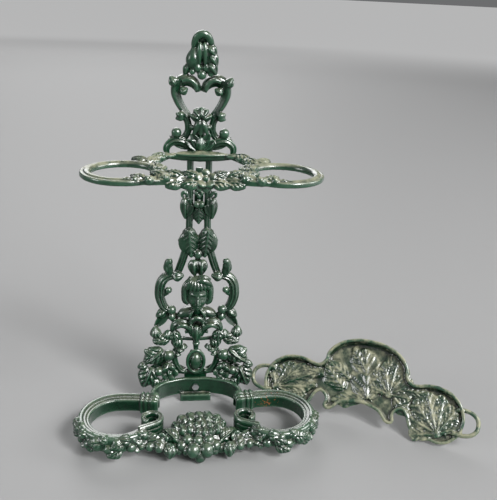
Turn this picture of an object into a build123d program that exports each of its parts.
from build123d import *
import os
from math import cos, pi, radians, sin

# Cast iron umbrella stand: an openwork upright, a rail of two loops, a base of two loops and a loose
# drip tray. Millimetres. X to the right, Y to the back, Z up. The origin is on the floor, in the plane where
# the upright meets the rail and the base strap.

# Sides of the cut ornament
LEAF_STEPS = (-0.55, 0.0, 0.55)
BOSS_SIDES = 8
ROUND_SIDES = 10
LOOP_SIDES = 24
ROD_SIDES = 6
PETALS = 5
PETAL_CUT = 0.72
FLOWER_TAPER = 0.45
BUD_SIDES = 6

# Upright, heights from one motif to the next, counted up from the floor
FOOT_CLEARANCE = 22.0
CABOCHON_RISE = 65.0
SPRAY_RISE = 57.0
BUST_RISE = 100.0
CLASP_RISE = 106.0
RAIL_RISE = 176.0
CREST_RISE = 72.0
FINIAL_RISE = 72.0
FINIAL_HEIGHT = 80.0

# Upright, casting
PLATE_DEPTH = 12.0
CROWN_DEPTH = 4.0
CROWN_SHARE = 0.55
BAR_GAUGE = 17.5
BAR_WIDTH = 13.0
FINIAL_HALF_WIDTH = 31.0
FINIAL_HALF_DEPTH = 17.0
HANDLE_REACH = 47.0
HANDLE_LIMB = 10.0
CREST_LIMB = 10.0
CREST_BALL = 8.5
SCROLL_LIMB = 14.0
SCROLL_REACH = 76.0
HEAD_HALF_WIDTH = 23.0
HEAD_HALF_DEPTH = 21.0
HEAD_HALF_HEIGHT = 33.0
HAIR_THICKNESS = 6.0
NECK_RADIUS = 12.0
SHOULDER_HALF_WIDTH = 37.0
SHOULDER_HALF_DEPTH = 18.0
SPRAY_REACH = 83.0
CABOCHON_HALF_WIDTH = 13.0
CABOCHON_HALF_HEIGHT = 21.0
CABOCHON_FRAME = 5.0
BRACKET_REACH = 42.0
BRACKET_LIMB = 10.0
CLUSTER_REACH = 95.0
BLOSSOM_RADIUS = 15.0
BLOSSOM_HEIGHT = 13.0
CLASP_HALF_HEIGHT = 21.0
CLASP_DEPTH = 12.0
FOOT_PAD_HALF_WIDTH = 24.0
FOOT_PAD_TOP = 64.0

# Upper rail
RAIL_LOOP_X = 134.0
RAIL_LOOP_Y = -135.0
RAIL_LOOP_RADIUS = 61.0
RAIL_LIMB = 20.0
RAIL_HEIGHT = 12.0
RAIL_PAD_DEPTH = 14.0
RAIL_FRONT_Y = -179.0
RAIL_ROSETTE_RADIUS = 12.0
RAIL_ROSETTE_HEIGHT = 8.0

# Base
BASE_LOOP_X = 152.0
BASE_LOOP_Y = -135.0
BASE_LOOP_RADIUS = 65.0
BASE_LIMB = 22.0
BASE_LIMB_HEIGHT = 30.0
BASE_LIMB_WALL = 5.0
BASE_UNDERSIDE = 24.0
FRONT_ANGLE = -140.0
COLLAR_X = 86.0
COLLAR_DROP = 8.0
COLLAR_SWELL = 1.25
COLLAR_LENGTH = 6.0
STRAP_THICKNESS = 6.0
STRAP_HEIGHT = 36.0
STRAP_UNDERSIDE = 13.0
STRAP_HALF_SPAN = 89.0
FOOT_BLOCK_HALF_WIDTH = 32.0
FOOT_BLOCK_FRONT = -17.0
FOOT_BLOCK_BACK = 5.0
PEG_RADIUS = 5.0
PEG_Y = -208.0
BOUQUET_HALF_WIDTH = 72.0
BOUQUET_HALF_DEPTH = 52.0
BOUQUET_HALF_HEIGHT = 40.0
BOUQUET_Y = -168.0
BOUQUET_UNDERSIDE = 14.0
BOUQUET_MIDDLE = 20.0
BOUQUET_TILT = 14.0
BOUQUET_FLOWER = 13.0
BOUQUET_SINK = 0.86
BOUQUET_BACK = 0.5
BOUQUET_TILTS = (8, 42, 72)
BOUQUET_COUNTS = (11, 7, 3)
VOLUTE_X = 81.0
VOLUTE_Y = -146.0
VOLUTE_RADIUS = 14.0
VOLUTE_STRIP = 7.0
GARLAND_RADIUS = 14.0
GARLAND_HEIGHT = 12.0
GARLAND_COUNT = 6
GARLAND_START = -135.0
GARLAND_STEP = 24.0

# Drip tray, drawn where it sits in the base and then leant back on the floor beside it
TRAY_CLEARANCE = 2.0
TRAY_FLOOR = 3.0
TRAY_WALL = 3.0
TRAY_RIM_BACK = 24.0
TRAY_RIM_FRONT = 8.0
TRAY_BACK_GAP = 8.0
TRAY_FRONT_Y = -140.0
TRAY_HANDLE_REACH = 33.0
TRAY_HANDLE_ROD = 4.0
TRAY_HANDLE_HALF_WIDTH = 21.0
TRAY_LEAF_RISE = 1.5
TRAY_YAW = -27.1
TRAY_TILT = 50.8
TRAY_STAND_OFF = 29.0
TRAY_SET_BACK = 5.2

# Fasteners and their clearances
BOLT_RADIUS = 4.0
BOLT_ACROSS_FLATS = 13.0
BOLT_HEAD_HEIGHT = 5.5
BOLT_Z = 30.0
BOLT_TAIL = 3.0
NUT_HEIGHT = 6.5
WASHER_RADIUS = 8.0
WASHER_THICKNESS = 1.6
SCREW_RADIUS = 2.5
SCREW_ACROSS_FLATS = 8.0
SCREW_HEAD_HEIGHT = 3.5
SCREW_BITE = 9.0
SCREW_WASHER_RADIUS = 5.5
SCREW_WASHER_THICKNESS = 1.0
HOLE_CLEARANCE = 0.3

# Heights worked out from the rises
cabochon_z = FOOT_CLEARANCE + CABOCHON_RISE
spray_z = cabochon_z + SPRAY_RISE
bust_z = spray_z + BUST_RISE
clasp_z = bust_z + CLASP_RISE
rail_z = clasp_z + RAIL_RISE
crest_z = rail_z + CREST_RISE
finial_z = crest_z + FINIAL_RISE

# Places worked out for the loops and the fasteners
UPWARD = (Align.CENTER, Align.CENTER, Align.MIN)
base_loop_inside = BASE_LOOP_RADIUS - BASE_LIMB / 2
tray_lobe_radius = base_loop_inside - TRAY_CLEARANCE
tray_front = BASE_LOOP_Y - tray_lobe_radius
tray_back = -STRAP_THICKNESS - TRAY_BACK_GAP
tray_half_length = BASE_LOOP_X + tray_lobe_radius + TRAY_HANDLE_REACH
tray_handle_in = tray_lobe_radius * cos(radians(TRAY_TILT))
tray_rest_x = (CLUSTER_REACH + TRAY_STAND_OFF + tray_half_length * cos(radians(TRAY_YAW))
               + tray_handle_in * sin(radians(TRAY_YAW)))
tray_rest_y = (PLATE_DEPTH + TRAY_SET_BACK + tray_half_length * sin(radians(TRAY_YAW))
               - tray_handle_in * cos(radians(TRAY_YAW)))
screw_places = (-BAR_GAUGE, BAR_GAUGE)


def ellipsoid(centre, half_sizes):
    """Solid ellipsoid with its axes along X, Y and Z."""
    return Pos(*centre) * scale(Sphere(1), by=half_sizes)


def corners(outline, size, z):
    """Ring of corners: a flat outline scaled about the origin and raised to z."""
    return [(x * size, y * size, z) for x, y in outline]


def faceted(*rings):
    """Solid of flat facets between rings of corners, where a ring of one corner is a point."""
    sides = []
    for low, high in zip(rings, rings[1:]):
        count = max(len(low), len(high))
        for here, there in [(index, (index + 1) % count) for index in range(count)]:
            foot = low if len(low) == 1 else [low[here], low[there]]
            top = high if len(high) == 1 else [high[there], high[here]]
            sides.append(Face(Wire.make_polygon([*foot, *top])))
    ends = [Face(Wire.make_polygon(ring)) for ring in (rings[0], rings[-1]) if len(ring) > 1]
    return Solid(Shell(sides + ends))


def polygon_points(half_width, half_depth, sides):
    """Corners of a flat many-sided oval."""
    turns = [2 * pi * index / sides for index in range(sides)]
    return [(half_width * cos(turn), half_depth * sin(turn)) for turn in turns]


def oval(half_width, half_depth):
    """Flat many-sided oval."""
    return Polygon(*polygon_points(half_width, half_depth, ROUND_SIDES), align=None)


def cut_oval(half_width, half_depth, half_height, tilts):
    """Egg cut in flat facets, upright on its middle, with a ring of corners at each tilt."""
    outline = polygon_points(half_width, half_depth, ROUND_SIDES)
    rings = [corners(outline, cos(radians(tilt)), half_height * sin(radians(tilt))) for tilt in tilts]
    return faceted([(0, 0, -half_height)], *rings, [(0, 0, half_height)])


def flower_head(radius, height):
    """Blunt flower head of five petals, standing on the XY plane."""
    tips = polygon_points(radius, radius, 2 * PETALS)
    petals = [(x, y) if index % 2 else (x * PETAL_CUT, y * PETAL_CUT) for index, (x, y) in enumerate(tips)]
    return faceted(corners(petals, 1, 0), corners(petals, FLOWER_TAPER, height))


def bud_head(radius, height):
    """Blunt bud with flat sides, standing on the XY plane."""
    outline = polygon_points(radius, radius, BUD_SIDES)
    return faceted(corners(outline, 1, 0), corners(outline, FLOWER_TAPER, height))


def both_sides(shapes):
    """The shapes and their mirror images across the stand's middle plane."""
    return shapes + [mirror(shape, about=Plane.YZ) for shape in shapes]


def disc(x, y, radius):
    """Flat boss."""
    return Pos(x, y) * RegularPolygon(radius, BOSS_SIDES)


def leaf_points(length, width):
    """Corners of an upright leaf: its two edges are parabolas that meet at the tips."""
    edge = [(width / 2 * (1 - step * step), length / 2 * step) for step in LEAF_STEPS]
    return [(0, -length / 2), *edge, (0, length / 2), *[(-side, up) for side, up in reversed(edge)]]


def leaf(x, y, length, width, turn):
    """Flat pointed leaf, turned from upright."""
    return Pos(x, y) * Rot(0, 0, turn) * Polygon(*leaf_points(length, width), align=None)


def smooth_line(points):
    """The points with one more between each two, on the smooth curve through them."""
    places = [Vector(*point) for point in points]
    places = [places[0] * 2 - places[1], *places, places[-1] * 2 - places[-2]]
    line = []
    for before, start, end, after in zip(places, places[1:], places[2:], places[3:]):
        line += [start, (start + end) * (9 / 16) - (before + after) * (1 / 16)]
    return line + [places[-2]]


def limb(points, share=1.0):
    """Flat scroll limb with blunt ends, along a smooth line through (x, y, width) points."""
    line = smooth_line(points)
    left, right, last = [], [], len(line) - 1
    for index, place in enumerate(line):
        along = line[min(index + 1, last)] - line[max(index - 1, 0)]
        along = Vector(along.X, along.Y).normalized()
        across, at = Vector(-along.Y, along.X) * (place.Z * share / 2), Vector(place.X, place.Y)
        left.append(at + across)
        right.append(at - across)
        if index in (0, last):
            nose = along * (place.Z * share / 2 if index else -place.Z * share / 2)
            left.insert(len(left) if index else 0, at + nose + across * 0.5)
            right.insert(len(right) if index else 0, at + nose - across * 0.5)
    return [Polygon(*left, *right[::-1], align=None)]


def flat_union(shapes):
    """One outline from overlapping flat shapes, all turned to face the same way first."""
    faces = [face for shape in shapes for face in shape.faces()]
    return Sketch() + [face if face.normal_at().Z > 0 else -face for face in faces]


def upright_slab(shapes, back, front):
    """Outline drawn as (x, z), mirrored about the middle and thickened between two depths."""
    return extrude(Plane.XZ.offset(-back) * flat_union(both_sides(shapes)), back - front)


def scroll_lines():
    """The main scroll limbs of the upright's right half, from the hand hold down to the cabochon."""
    top, low, reach, rise = finial_z, crest_z, HANDLE_REACH, FINIAL_RISE
    hand_hold = [(reach * 0.17, top - rise * 0.26, HANDLE_LIMB),
                 (reach * 0.34, top - rise * 0.08, HANDLE_LIMB),
                 (reach * 0.62, top, HANDLE_LIMB), (reach * 0.94, top - rise * 0.15, HANDLE_LIMB),
                 (reach, top - rise * 0.4, HANDLE_LIMB), (reach * 0.81, low + rise * 0.28, HANDLE_LIMB),
                 (BAR_GAUGE - 1, low - rise * 0.08, HANDLE_LIMB)]
    rise = CREST_RISE
    ear = [(BAR_GAUGE * 2.1, low - rise * 0.04, CREST_LIMB), (BAR_GAUGE * 1.5, low, CREST_LIMB),
           (BAR_GAUGE + 2, low - rise * 0.22, CREST_LIMB), (BAR_GAUGE + 5, rail_z + rise * 0.5, CREST_LIMB),
           (BAR_GAUGE * 1.95, rail_z + rise * 0.39, CREST_LIMB),
           (BAR_GAUGE * 2.5, rail_z + rise * 0.47, CREST_LIMB)]
    brow = [(BAR_GAUGE + 5, rail_z + rise * 0.11, CREST_LIMB),
            (BAR_GAUGE * 2.1, rail_z + rise * 0.26, CREST_LIMB),
            (BAR_GAUGE * 3, rail_z + rise * 0.28, CREST_LIMB),
            (BAR_GAUGE * 3.3, rail_z + rise * 0.08, CREST_LIMB)]
    bar = [(BAR_GAUGE, rail_z + rise * 0.47, BAR_WIDTH), (BAR_GAUGE, clasp_z, BAR_WIDTH)]
    reach, rise = SCROLL_REACH, CLASP_RISE
    splay = [(BAR_GAUGE + 2, clasp_z - rise * 0.04, BAR_WIDTH),
             (reach * 0.38, clasp_z - rise * 0.36, BAR_WIDTH),
             (reach * 0.55, bust_z + rise * 0.32, BAR_WIDTH)]
    rise = BUST_RISE
    frame = [(reach * 0.49, bust_z + rise * 0.29, SCROLL_LIMB * 0.65),
             (reach * 0.68, bust_z + rise * 0.36, SCROLL_LIMB * 0.85),
             (reach * 0.88, bust_z + rise * 0.29, SCROLL_LIMB), (reach, bust_z + rise * 0.02, SCROLL_LIMB),
             (reach * 0.91, bust_z - rise * 0.27, SCROLL_LIMB),
             (reach * 0.71, bust_z - rise * 0.38, SCROLL_LIMB * 0.85)]
    link = [(reach * 0.71, bust_z - rise * 0.4, SCROLL_LIMB * 0.7),
            (reach * 0.5, spray_z + rise * 0.4, SCROLL_LIMB * 0.7),
            (reach * 0.18, spray_z + rise * 0.26, SCROLL_LIMB * 0.85)]
    reach, rise = BRACKET_REACH, CABOCHON_RISE
    bracket = [(reach * 0.29, cabochon_z + rise * 0.54, BRACKET_LIMB),
               (reach * 0.81, cabochon_z + rise * 0.46, BRACKET_LIMB),
               (reach, cabochon_z + rise * 0.08, BRACKET_LIMB),
               (reach * 0.33, cabochon_z - rise * 0.43, BRACKET_LIMB)]
    return hand_hold, ear, brow, bar, splay, frame, link, bracket


def handle_leaves():
    """Buds on the hand hold's scrolls."""
    reach, bud = HANDLE_REACH, HANDLE_LIMB
    return [leaf(reach * 0.77, finial_z - FINIAL_RISE * 0.43, bud * 2.2, bud * 0.9, 60),
            leaf(reach * 1.04, finial_z - FINIAL_RISE * 0.17, bud * 1.8, bud * 0.9, -35)]


def crest_leaves():
    """Volute ends and leaf spray above the rail."""
    return [disc(BAR_GAUGE * 2.5, rail_z + CREST_RISE * 0.55, CREST_BALL),
            leaf(BAR_GAUGE * 0.7, rail_z + CREST_RISE * 0.42, CREST_RISE * 0.47, CREST_LIMB * 1.2, -22)]


def bar_leaves():
    """Leaves that wrap the bars, and the veined clasps below them."""
    wrap_z = clasp_z + RAIL_RISE * 0.4
    return [leaf(BAR_GAUGE * 1.4, wrap_z, RAIL_RISE * 0.27, BAR_WIDTH * 1.3, -4),
            disc(BAR_GAUGE * 1.45, wrap_z + RAIL_RISE * 0.135, BAR_WIDTH * 0.46),
            leaf(BAR_GAUGE + 1, clasp_z, 2 * CLASP_HALF_HEIGHT, 2 * BAR_GAUGE, 0)]


def frame_leaves():
    """Ears, buds and thorn leaves on the large scrolls beside the bust."""
    reach, rise = SCROLL_REACH, BUST_RISE
    return [disc(reach * 0.66, bust_z - rise * 0.35, SCROLL_LIMB * 0.64),
            leaf(reach * 0.82, bust_z + rise * 0.04, rise * 0.24, SCROLL_LIMB * 0.7, 75),
            leaf(reach * 0.75, bust_z + rise * 0.52, rise * 0.46, SCROLL_LIMB * 1.15, 6),
            leaf(reach * 0.92, spray_z + rise * 0.42, rise * 0.46, SCROLL_LIMB, 38)]


def spray_leaves():
    """Acanthus leaves and flower sprays below the bust."""
    reach, rise = SPRAY_REACH, SPRAY_RISE
    acanthus = [(reach * 0.07, spray_z + rise * 0.39, BLOSSOM_RADIUS * 0.93),
                (reach * 0.24, spray_z + rise * 0.6, BLOSSOM_RADIUS * 1.07),
                (reach * 0.48, spray_z + rise * 0.46, BLOSSOM_RADIUS * 0.8)]
    stem = [(reach * 0.1, spray_z - rise * 0.25, BLOSSOM_RADIUS * 0.67),
            (reach * 0.41, spray_z + rise * 0.02, BLOSSOM_RADIUS),
            (reach * 0.7, spray_z - rise * 0.05, BLOSSOM_RADIUS),
            (reach, spray_z + rise * 0.09, BLOSSOM_RADIUS * 0.73)]
    return limb(acanthus) + limb(stem)


def cluster_leaves():
    """Leaf and flower clusters that widen the foot of the upright."""
    low, reach, rise = FOOT_CLEARANCE, CLUSTER_REACH, CABOCHON_RISE
    return [leaf(reach * 0.9, low + rise, rise * 0.8, rise * 0.58, 40),
            leaf(reach * 1.06, low + rise * 0.38, rise * 0.83, rise * 0.52, -10),
            leaf(reach * 0.87, low + rise * 0.65, rise * 0.92, rise * 0.46, 75),
            leaf(reach * 0.65, low + rise * 1.4, rise * 0.92, rise * 0.4, 12),
            disc(reach * 0.59, low + rise * 0.68, BLOSSOM_RADIUS * 1.27),
            leaf(reach * 0.44, low + rise * 0.62, rise * 0.86, rise * 0.28, 70),
            leaf(reach * 0.77, low + rise * 0.34, rise * 0.68, rise * 0.28, 65)]


def middle_leaves():
    """Flowers, pendants and leaves on the middle line, each wide enough to join the two bars."""
    between = 2 * BAR_GAUGE
    inside = between - BAR_WIDTH + 3
    crest_bell = leaf(0, crest_z - CREST_RISE * 0.17, CREST_RISE * 0.78, between - 3, 0)
    drop = leaf(0, clasp_z + RAIL_RISE * 0.32, RAIL_RISE * 0.26, inside, 0)
    upper_drop = leaf(0, rail_z - RAIL_RISE * 0.3, RAIL_RISE * 0.34, inside, 0)
    bud = leaf(0, bust_z + CLASP_RISE * 0.57, CLASP_RISE * 0.68, between, 0)
    post = limb([(0, cabochon_z + SPRAY_RISE * 0.32, NECK_RADIUS * 1.25), (0, spray_z, NECK_RADIUS * 0.92),
                 (0, spray_z + SPRAY_RISE * 0.7, NECK_RADIUS * 1.83)])
    berry = disc(0, clasp_z - CLASP_RISE * 0.13, BAR_GAUGE)
    return [crest_bell, drop, upper_drop, bud, berry] + post


def bust():
    """Head, hair, neck and draped shoulders in the round, flat at the back."""
    face_y = PLATE_DEPTH - HEAD_HALF_DEPTH
    head = ellipsoid((0, face_y, bust_z), (HEAD_HALF_WIDTH, HEAD_HALF_DEPTH, HEAD_HALF_HEIGHT))
    locks = cut_oval(HEAD_HALF_WIDTH + HAIR_THICKNESS, HEAD_HALF_DEPTH, HEAD_HALF_HEIGHT, (-54, -18, 18, 54))
    hair = Pos(0, face_y + HAIR_THICKNESS, bust_z + HAIR_THICKNESS) * locks
    neck_low = bust_z - HEAD_HALF_HEIGHT - NECK_RADIUS
    neck = extrude(Pos(0, face_y, neck_low) * oval(NECK_RADIUS, NECK_RADIUS), bust_z - neck_low)
    drape = cut_oval(SHOULDER_HALF_WIDTH, SHOULDER_HALF_DEPTH, NECK_RADIUS * 1.25, (-45, 0, 45))
    shoulders = Pos(0, 0, neck_low) * drape
    return head + [hair, neck, shoulders] - behind(PLATE_DEPTH, bust_z, 4 * HEAD_HALF_HEIGHT)


def behind(y, z, size):
    """Cutter for everything behind a flat back at y."""
    return Pos(0, y, z) * Box(size, size, size, align=(Align.CENTER, Align.MIN, Align.CENTER))


def finial():
    """Plump leaf bud on top of the hand hold, flattened front to back."""
    middle = PLATE_DEPTH / 2
    body_half, tip_half = FINIAL_HEIGHT * 0.4, FINIAL_HEIGHT * 0.36
    tilts = (-54, -18, 18, 54)
    body = cut_oval(FINIAL_HALF_WIDTH, FINIAL_HALF_DEPTH, body_half, tilts)
    tip = cut_oval(FINIAL_HALF_WIDTH * 0.68, FINIAL_HALF_DEPTH * 0.85, tip_half, tilts)
    return (Pos(0, middle, finial_z + body_half - HANDLE_LIMB / 2) * body
            + Pos(0, middle, finial_z + FINIAL_HEIGHT - tip_half) * tip)


def cabochon():
    """Domed oval in a raised oval frame."""
    outer = oval(CABOCHON_HALF_WIDTH + CABOCHON_FRAME, CABOCHON_HALF_HEIGHT + CABOCHON_FRAME)
    frame = extrude(Plane.XZ.offset(-PLATE_DEPTH) * (Pos(0, cabochon_z) * outer), PLATE_DEPTH)
    dome = cut_oval(CABOCHON_HALF_WIDTH, CABOCHON_HALF_HEIGHT, PLATE_DEPTH * 0.75, (0, 35, 65))
    return frame + Pos(0, 0, cabochon_z) * Rot(90, 0, 0) * dome


def facing_flower(x, z, radius):
    """Flower head on the upright's front."""
    return Pos(x, CROWN_DEPTH + 1, z) * Rot(90, 0, 0) * flower_head(radius, BLOSSOM_HEIGHT + CROWN_DEPTH)


def blossoms():
    """Flower heads that stand out of the openwork."""
    low, reach, rise = FOOT_CLEARANCE, CLUSTER_REACH, CABOCHON_RISE
    places = [(reach * 0.59, low + rise * 0.68), (reach * 0.63, low + rise * 1.17),
              (reach * 1.02, low + rise * 0.55), (reach * 0.9, low + rise),
              (SPRAY_REACH * 0.41, spray_z + SPRAY_RISE * 0.04)]
    middle = [crest_z + CREST_RISE * 0.04, clasp_z + RAIL_RISE * 0.32]
    return (both_sides([facing_flower(x, z, BLOSSOM_RADIUS) for x, z in places])
            + [facing_flower(0, z, BAR_GAUGE - 1) for z in middle])


def clasp_leaves():
    """Two raised leaves that clasp the bars."""
    outline = leaf_points(2 * CLASP_HALF_HEIGHT, 2 * BAR_GAUGE)
    raised = faceted(corners(outline, 1, 0), corners(outline, FLOWER_TAPER, CLASP_DEPTH))
    return both_sides([Pos(BAR_GAUGE + 1, CROWN_DEPTH + 1, clasp_z) * Rot(90, 0, 0) * raised])


def rod_along_y(x, z, radius, front, back):
    """Round rod along Y, from front to back."""
    return Pos(x, front, z) * Rot(-90, 0, 0) * Cylinder(radius, back - front, align=UPWARD)


def make_upright():
    """The upright casting with its bolt and screw holes."""
    lines = scroll_lines()
    leaves = (handle_leaves() + crest_leaves() + bar_leaves() + frame_leaves() + spray_leaves()
              + cluster_leaves() + middle_leaves())
    plate = upright_slab([face for line in lines for face in limb(line)] + leaves, PLATE_DEPTH, CROWN_DEPTH)
    crown = upright_slab([face for line in lines for face in limb(line, CROWN_SHARE)], CROWN_DEPTH, 0)
    pad_outline = Rectangle(2 * FOOT_PAD_HALF_WIDTH, FOOT_PAD_TOP - FOOT_CLEARANCE)
    pad_outline = Pos(0, (FOOT_PAD_TOP + FOOT_CLEARANCE) / 2) * chamfer(pad_outline.vertices(), CROWN_DEPTH)
    bosses = [pad_outline] + [disc(x, rail_z, BAR_WIDTH * 0.62) for x in screw_places]
    seats = [extrude(Plane.XZ.offset(-PLATE_DEPTH) * boss, PLATE_DEPTH) for boss in bosses]
    body = plate + [crown, bust(), finial(), cabochon()] + seats + blossoms() + clasp_leaves()
    reach = 4 * PLATE_DEPTH
    holes = [rod_along_y(0, BOLT_Z, BOLT_RADIUS + HOLE_CLEARANCE, -reach, reach)]
    holes += [rod_along_y(x, rail_z, SCREW_RADIUS + HOLE_CLEARANCE, -reach, reach) for x in screw_places]
    return body - holes


def rail_loop():
    """One full loop of the rail, on the right: a bar with bevelled upper edges."""
    wide, high = RAIL_LIMB / 2, RAIL_HEIGHT / 2
    levels = [(-high, wide), (high / 3, wide), (high, wide * 0.6)]
    outline = polygon_points(1, 1, LOOP_SIDES)
    outside, inside = [faceted(*[corners(outline, RAIL_LOOP_RADIUS + side * reach, z) for z, reach in levels])
                       for side in (1, -1)]
    return Pos(RAIL_LOOP_X, RAIL_LOOP_Y, rail_z) * (outside - inside)


def rail_flower(x, y):
    """Flower head on top of the rail."""
    return Pos(x, y, rail_z) * flower_head(RAIL_ROSETTE_RADIUS, RAIL_HEIGHT / 2 + RAIL_ROSETTE_HEIGHT)


def make_rail():
    """The rail casting: two loops, back bar with its pad, leafy front bar."""
    join_x = RAIL_LOOP_X - RAIL_LOOP_RADIUS * 0.55
    back_y, front_y = RAIL_LOOP_Y + RAIL_LOOP_RADIUS * 0.83, RAIL_LOOP_Y - RAIL_LOOP_RADIUS * 0.83
    pad_y, narrow, wide = -RAIL_PAD_DEPTH / 2, RAIL_LIMB * 0.8, RAIL_LIMB
    divider_x = RAIL_LOOP_X - RAIL_LOOP_RADIUS
    back = [(join_x, back_y, narrow), (RAIL_LOOP_X * 0.6, pad_y - RAIL_LOOP_RADIUS * 0.75, wide),
            (RAIL_LOOP_X * 0.37, pad_y - RAIL_LOOP_RADIUS * 0.2, narrow), (0, pad_y, RAIL_PAD_DEPTH)]
    front = [(join_x, front_y, narrow), (RAIL_LOOP_X * 0.6, front_y, wide),
             (RAIL_LOOP_X * 0.3, RAIL_FRONT_Y + wide * 0.2, wide), (0, RAIL_FRONT_Y, wide)]
    leaves = [leaf(RAIL_LOOP_X * 0.64, pad_y - wide * 2, wide * 2.4, wide * 1.3, 40),
              leaf(RAIL_LOOP_X * 0.69, front_y - wide * 0.4, wide * 2.8, wide * 1.5, 80),
              leaf(RAIL_LOOP_X * 0.49, front_y - wide * 0.1, wide * 2.5, wide * 1.4, 80),
              leaf(divider_x + wide * 0.1, RAIL_LOOP_Y + wide * 0.9, wide * 2, wide * 1.1, 10)]
    pad = Pos(0, pad_y) * Rectangle(4 * BAR_GAUGE, RAIL_PAD_DEPTH)
    outline = flat_union(both_sides(limb(back) + limb(front) + leaves) + [pad])
    bars = extrude(Pos(0, 0, rail_z - RAIL_HEIGHT / 2) * outline, RAIL_HEIGHT)
    places = [(RAIL_LOOP_X * 0.52, front_y - wide * 0.3), (RAIL_LOOP_X * 0.75, front_y - wide * 0.3),
              (RAIL_LOOP_X * 0.63, pad_y - wide * 2)]
    flowers = both_sides([rail_flower(x, y) for x, y in places]) + [rail_flower(0, RAIL_FRONT_Y)]
    body = bars + both_sides([rail_loop()]) + flowers
    body -= behind(0, rail_z, 2 * RAIL_LOOP_X)
    holes = [rod_along_y(x, rail_z, SCREW_RADIUS + HOLE_CLEARANCE, -SCREW_BITE, 1) for x in screw_places]
    return body - holes


def limb_section():
    """Base limb moulding: an open channel with a bevelled top."""
    wide, high, wall = BASE_LIMB / 2, BASE_LIMB_HEIGHT, BASE_LIMB_WALL
    shoulder = high * 0.6
    return Polygon((-wide, 0), (-wide, shoulder), (-wide * 0.5, high), (wide * 0.5, high), (wide, shoulder),
                   (wide, 0), (wide - wall, 0), (wide - wall, shoulder), (-wide + wall, shoulder),
                   (-wide + wall, 0), align=None)


def base_loop():
    """One open loop of the base, on the right, with its two collars."""
    centre, radius = Vector(BASE_LOOP_X, BASE_LOOP_Y), BASE_LOOP_RADIUS
    back = centre + Vector(0, radius)
    sides = round((90 - FRONT_ANGLE) / 360 * LOOP_SIDES)
    turns = [FRONT_ANGLE + (90 - FRONT_ANGLE) * index / sides for index in range(sides + 1)]
    inward = TangentArc(back, Vector(COLLAR_X, back.Y - COLLAR_DROP), tangent=(-1, 0))
    line = [centre + centre_direction(turn) * radius for turn in turns] + [inward @ 0.5, inward @ 1]
    path = Pos(0, 0, BASE_UNDERSIDE) * Polyline(*line)
    start = Plane(origin=path @ 0, x_dir=-centre_direction(FRONT_ANGLE), z_dir=path % 0)
    limb_solid = sweep(start * limb_section(), path=path, transition=Transition.RIGHT)
    collars = [collar(path, place) for place in (0.86, 0.93)]
    return limb_solid + collars


def centre_direction(angle):
    """Unit vector from a loop's centre outwards."""
    return Vector(cos(radians(angle)), sin(radians(angle)), 0)


def collar(path, place):
    """Ring moulding round the limb at a place along it."""
    at, along = path @ place, path % place
    across = Vector(-along.Y, along.X, 0)
    middle = Vector(at.X, at.Y, at.Z + BASE_LIMB_HEIGHT / 2)
    plane = Plane(origin=middle - along * (COLLAR_LENGTH / 2), x_dir=across, z_dir=along)
    ring = Rectangle(BASE_LIMB * COLLAR_SWELL, BASE_LIMB_HEIGHT * COLLAR_SWELL)
    return extrude(plane * chamfer(ring.vertices(), BASE_LIMB * 0.3), COLLAR_LENGTH)


def garland():
    """Buds along the outer front of a loop."""
    heads = []
    for index in range(GARLAND_COUNT):
        angle = GARLAND_START + index * GARLAND_STEP
        out = centre_direction(angle)
        place = Vector(BASE_LOOP_X, BASE_LOOP_Y, BASE_UNDERSIDE + BASE_LIMB_HEIGHT * 0.4)
        place += out * (BASE_LOOP_RADIUS + BASE_LIMB * 0.3)
        plane = Plane(origin=place, x_dir=Vector(0, 0, 1).cross(out), z_dir=out + Vector(0, 0, 0.4))
        heads.append(plane * bud_head(GARLAND_RADIUS, GARLAND_HEIGHT))
    return heads


def volute():
    """Curled strip between a loop and the bouquet, on the right."""
    height = BASE_LIMB_HEIGHT
    ring = oval(VOLUTE_RADIUS, VOLUTE_RADIUS)
    ring -= oval(VOLUTE_RADIUS - VOLUTE_STRIP, VOLUTE_RADIUS - VOLUTE_STRIP)
    front = Vector(BASE_LOOP_X, BASE_LOOP_Y) + centre_direction(FRONT_ANGLE) * BASE_LOOP_RADIUS
    tail = [(front.X, front.Y, VOLUTE_STRIP * 2),
            (VOLUTE_X + VOLUTE_RADIUS, VOLUTE_Y - VOLUTE_RADIUS, VOLUTE_STRIP),
            (VOLUTE_X + VOLUTE_RADIUS - VOLUTE_STRIP / 2, VOLUTE_Y, VOLUTE_STRIP)]
    stalk = [(front.X, front.Y, VOLUTE_STRIP * 2),
             (BOUQUET_HALF_WIDTH / 2, front.Y - VOLUTE_STRIP, VOLUTE_STRIP * 2)]
    outline = flat_union([Pos(VOLUTE_X, VOLUTE_Y) * ring] + limb(tail) + limb(stalk))
    return extrude(Pos(0, 0, BASE_UNDERSIDE) * outline, height)


def bouquet():
    """Heap of flowers and fruit between the loops, higher at the back, cut flat below."""
    place = Pos(0, BOUQUET_Y, BOUQUET_MIDDLE) * Rot(BOUQUET_TILT, 0, 0)
    half = BOUQUET_HALF_WIDTH, BOUQUET_HALF_DEPTH, BOUQUET_HALF_HEIGHT
    heap = place * cut_oval(*half, (-40, 0, 30, 60))
    rings = zip(BOUQUET_TILTS, BOUQUET_COUNTS)
    heads = [place * head for tilt, count in rings for head in bouquet_ring(half, tilt, count)]
    size = 4 * BOUQUET_HALF_WIDTH
    below = Pos(0, BOUQUET_Y, BOUQUET_UNDERSIDE) * Box(size, size, size, align=(*UPWARD[:2], Align.MAX))
    return heap + heads - below


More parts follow.
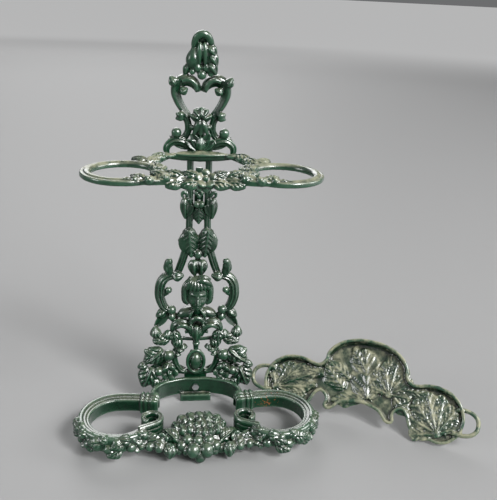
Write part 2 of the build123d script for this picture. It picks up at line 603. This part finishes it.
def bouquet_ring(half, tilt, count):
    """Flower heads round the front and sides of the heap, at one height, each square to its surface."""
    heads = []
    for turn in [2 * pi * (index + 0.5) / count for index in range(count)]:
        out = Vector(cos(turn) * cos(radians(tilt)), sin(turn) * cos(radians(tilt)), sin(radians(tilt)))
        if out.Y < BOUQUET_BACK:
            at = Vector(out.X * half[0], out.Y * half[1], out.Z * half[2]) * BOUQUET_SINK
            square = Vector(out.X / half[0], out.Y / half[1], out.Z / half[2])
            heads.append(Plane(origin=at, z_dir=square) * bud_head(BOUQUET_FLOWER, BOUQUET_FLOWER))
    return heads


def strap():
    """Plate across the back, bent round to the two collars, with a flat seat for the upright."""
    middle_y = -STRAP_THICKNESS / 2
    collar_y = BASE_LOOP_Y + BASE_LOOP_RADIUS - COLLAR_DROP
    line = [(COLLAR_X, collar_y, STRAP_THICKNESS), (STRAP_HALF_SPAN, collar_y + 28, STRAP_THICKNESS),
            (STRAP_HALF_SPAN * 0.88, middle_y - 22, STRAP_THICKNESS),
            (STRAP_HALF_SPAN * 0.5, middle_y - 7, STRAP_THICKNESS), (0, middle_y, STRAP_THICKNESS)]
    seat = Pos(0, middle_y) * Rectangle(2 * FOOT_PAD_HALF_WIDTH, STRAP_THICKNESS)
    outline = flat_union(both_sides(limb(line)) + [seat])
    return extrude(Pos(0, 0, STRAP_UNDERSIDE) * outline, STRAP_HEIGHT)


def make_base():
    """The base casting, standing on its rear block and front peg."""
    block_depth = FOOT_BLOCK_BACK - FOOT_BLOCK_FRONT
    block = Pos(0, (FOOT_BLOCK_BACK + FOOT_BLOCK_FRONT) / 2) * Box(
        2 * FOOT_BLOCK_HALF_WIDTH, block_depth, STRAP_UNDERSIDE + 1, align=UPWARD)
    peg = Pos(0, PEG_Y) * Cylinder(PEG_RADIUS, BOUQUET_UNDERSIDE + PEG_RADIUS, align=UPWARD)
    sides = both_sides([base_loop(), volute()] + garland())
    body = strap() + [block, peg, bouquet()] + sides
    reach = 4 * STRAP_THICKNESS
    bolt_hole = rod_along_y(0, BOLT_Z, BOLT_RADIUS + HOLE_CLEARANCE, -reach, reach)
    spot_face = rod_along_y(0, BOLT_Z, BOLT_ACROSS_FLATS, -reach, -STRAP_THICKNESS)
    return body - [bolt_hole, spot_face]


def tray_outline():
    """Tray outline that fits inside the base: two side lobes, a back lobe, and notches round the volutes."""
    lobes = both_sides([Pos(BASE_LOOP_X, BASE_LOOP_Y) * RegularPolygon(tray_lobe_radius, LOOP_SIDES)])
    shoulder = (STRAP_HALF_SPAN - STRAP_THICKNESS - TRAY_CLEARANCE, tray_back - 44)
    neck_y = BASE_LOOP_Y + BASE_LOOP_RADIUS - COLLAR_DROP - BASE_LIMB * 0.7 - TRAY_CLEARANCE
    inner_x = BASE_LOOP_X - tray_lobe_radius * 0.5
    corner = (VOLUTE_X - VOLUTE_RADIUS - TRAY_CLEARANCE, TRAY_FRONT_Y - 22)
    back = ThreePointArc((-shoulder[0], shoulder[1]), (0, tray_back), shoulder)
    front = ThreePointArc(corner, (0, TRAY_FRONT_Y), (-corner[0], corner[1]))
    right = Polyline(shoulder, (COLLAR_X + 14, neck_y), (inner_x, neck_y), (inner_x, corner[1]), corner)
    left = Polyline((-corner[0], corner[1]), (-inner_x, corner[1]), (-inner_x, neck_y),
                    (-COLLAR_X - 14, neck_y), (-shoulder[0], shoulder[1]))
    body = Face(Wire([back, *right.edges(), front, *left.edges()]))
    notch_radius = VOLUTE_RADIUS + TRAY_CLEARANCE
    mouth = Pos(VOLUTE_X, VOLUTE_Y - notch_radius) * Rectangle(2 * notch_radius, 2 * notch_radius)
    notches = both_sides([Pos(VOLUTE_X, VOLUTE_Y) * oval(notch_radius, notch_radius), mouth])
    return flat_union([body] + lobes) - notches


def tray_handle():
    """Rod handle bent into a loop off the right end of the tray."""
    start_x = BASE_LOOP_X + tray_lobe_radius * 0.85
    reach_x = BASE_LOOP_X + tray_lobe_radius + TRAY_HANDLE_REACH - TRAY_HANDLE_ROD - start_x
    turns = [pi * index / ROUND_SIDES - pi / 2 for index in range(ROUND_SIDES + 1)]
    half = TRAY_HANDLE_HALF_WIDTH
    bend = [(start_x + reach_x * cos(turn), BASE_LOOP_Y + half * sin(turn)) for turn in turns]
    path = Pos(0, 0, TRAY_FLOOR + TRAY_HANDLE_ROD) * Polyline(*bend)
    section = Plane(origin=path @ 0, z_dir=path % 0) * RegularPolygon(TRAY_HANDLE_ROD, ROD_SIDES)
    return sweep(section, path=path, transition=Transition.RIGHT)


def make_tray():
    """The drip tray, leant back on its two side lobes beside the base."""
    outline = tray_outline()
    dish = extrude(outline, TRAY_RIM_BACK)
    inside = offset(outline, -TRAY_WALL, kind=Kind.INTERSECTION)
    dish -= extrude(Pos(0, 0, TRAY_FLOOR) * inside, TRAY_RIM_BACK)
    rim_line = Polygon((tray_front, TRAY_RIM_FRONT), (tray_back, TRAY_RIM_BACK),
                       (tray_back, 2 * TRAY_RIM_BACK), (tray_front - TRAY_WALL, 2 * TRAY_RIM_BACK),
                       (tray_front - TRAY_WALL, TRAY_RIM_FRONT), align=None)
    above = extrude(Plane.YZ * rim_line, 2 * BASE_LOOP_X, both=True)
    middle_y, long = (tray_back + TRAY_FRONT_Y) / 2, tray_lobe_radius * 1.8
    leaves = [leaf(BASE_LOOP_X, BASE_LOOP_Y, tray_lobe_radius * 1.6, tray_lobe_radius, -60),
              leaf(BASE_LOOP_X / 4, middle_y, long, long / 2, -35)]
    relief = extrude(Pos(0, 0, TRAY_FLOOR) * flat_union(both_sides(leaves)), TRAY_LEAF_RISE)
    hollow = extrude(Pos(0, 0, TRAY_FLOOR) * inside, TRAY_RIM_BACK)
    handles = [handle - hollow for handle in both_sides([tray_handle()])]
    seated = (dish - above) + handles + [relief]
    lean = Pos(tray_rest_x, tray_rest_y, 0) * Rot(0, 0, TRAY_YAW) * Rot(TRAY_TILT, 0, 0)
    return lean * Pos(0, -tray_front, 0) * seated


def hexagon_along_y(x, z, across_flats, front, back):
    """Hexagonal head or nut along Y."""
    outline = Pos(x, z) * RegularPolygon(across_flats / 2, 6, major_radius=False)
    return extrude(Plane.XZ.offset(-back) * outline, back - front)


def ring_along_y(x, z, radius, bore, front, thickness):
    """Washer along Y."""
    back = front + thickness
    return rod_along_y(x, z, radius, front, back) - rod_along_y(x, z, bore, front - 1, back + 1)


def make_bolt():
    """Bolt through the strap and the upright's foot, head in front."""
    front = -STRAP_THICKNESS
    tail = PLATE_DEPTH + WASHER_THICKNESS + NUT_HEIGHT + BOLT_TAIL
    head = hexagon_along_y(0, BOLT_Z, BOLT_ACROSS_FLATS, front - BOLT_HEAD_HEIGHT, front)
    return head + rod_along_y(0, BOLT_Z, BOLT_RADIUS, front, tail)


def make_washer():
    """Washer behind the upright's foot."""
    return ring_along_y(0, BOLT_Z, WASHER_RADIUS, BOLT_RADIUS + HOLE_CLEARANCE, PLATE_DEPTH, WASHER_THICKNESS)


def make_nut():
    """Nut behind the washer."""
    front = PLATE_DEPTH + WASHER_THICKNESS
    bore = rod_along_y(0, BOLT_Z, BOLT_RADIUS + HOLE_CLEARANCE, front - 1, front + NUT_HEIGHT + 1)
    return hexagon_along_y(0, BOLT_Z, BOLT_ACROSS_FLATS, front, front + NUT_HEIGHT) - bore


def make_rail_screws():
    """Two screws from behind, through the bars into the rail's pad."""
    seat = PLATE_DEPTH + SCREW_WASHER_THICKNESS
    screws = [rod_along_y(x, rail_z, SCREW_RADIUS, 1 - SCREW_BITE, seat)
              + hexagon_along_y(x, rail_z, SCREW_ACROSS_FLATS, seat, seat + SCREW_HEAD_HEIGHT)
              for x in screw_places]
    return Compound(children=screws)


def make_rail_washers():
    """Washers under the heads of the rail screws."""
    washers = [ring_along_y(x, rail_z, SCREW_WASHER_RADIUS, SCREW_RADIUS + HOLE_CLEARANCE, PLATE_DEPTH,
                            SCREW_WASHER_THICKNESS) for x in screw_places]
    return Compound(children=washers)


pieces = {"upright": make_upright, "upper_rail": make_rail, "base_ring": make_base, "drip_tray": make_tray,
          "base_bolt": make_bolt, "base_washer": make_washer, "base_nut": make_nut,
          "rail_screws": make_rail_screws, "rail_washers": make_rail_washers}
os.makedirs("parts", exist_ok=True)
for name, make in pieces.items():
    export_step(make(), f"parts/{name}.step")
